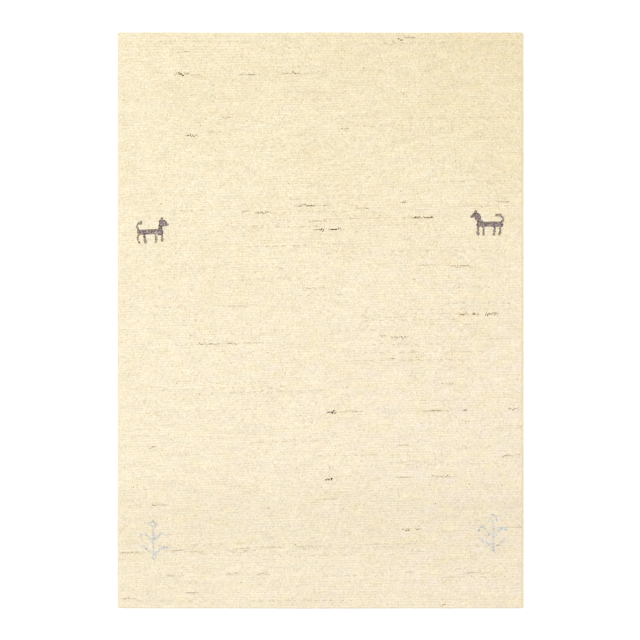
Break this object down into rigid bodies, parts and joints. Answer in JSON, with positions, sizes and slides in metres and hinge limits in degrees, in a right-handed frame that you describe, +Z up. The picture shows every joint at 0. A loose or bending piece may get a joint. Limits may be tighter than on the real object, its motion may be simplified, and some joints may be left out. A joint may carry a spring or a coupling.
{
  "type": "gabbeh rug",
  "caption": "Hand-knotted wool gabbeh rug lying flat: thick clipped ivory pile, overcast side cords, small animal and tree figures near the corners.",
  "frame": {"origin": "middle of the rug's underside, on the floor", "axes": "+Y along the rug's length towards the end that the animals' backs face, +X across its width, +Z up out of the pile"},
  "size_m": [1.6948, 2.4, 0.0146],
  "materials": {
    "pile_wool": "matte, hand-spun ivory wool with darker natural flecks along its rows",
    "selvedge_wool": "matte ivory wool yarn, wound closely round the side cords",
    "ground_wool": "matte woven ground, with the backs of the knots in rows",
    "figure_wool": "matte undyed brown wool with a mauve cast",
    "plant_wool": "matte pale blue-grey wool"
  },
  "bodies": {
    "root": {"field": "pile_wool", "selvedge_left": "selvedge_wool", "selvedge_right": "selvedge_wool"}
  },
  "joints": []
}
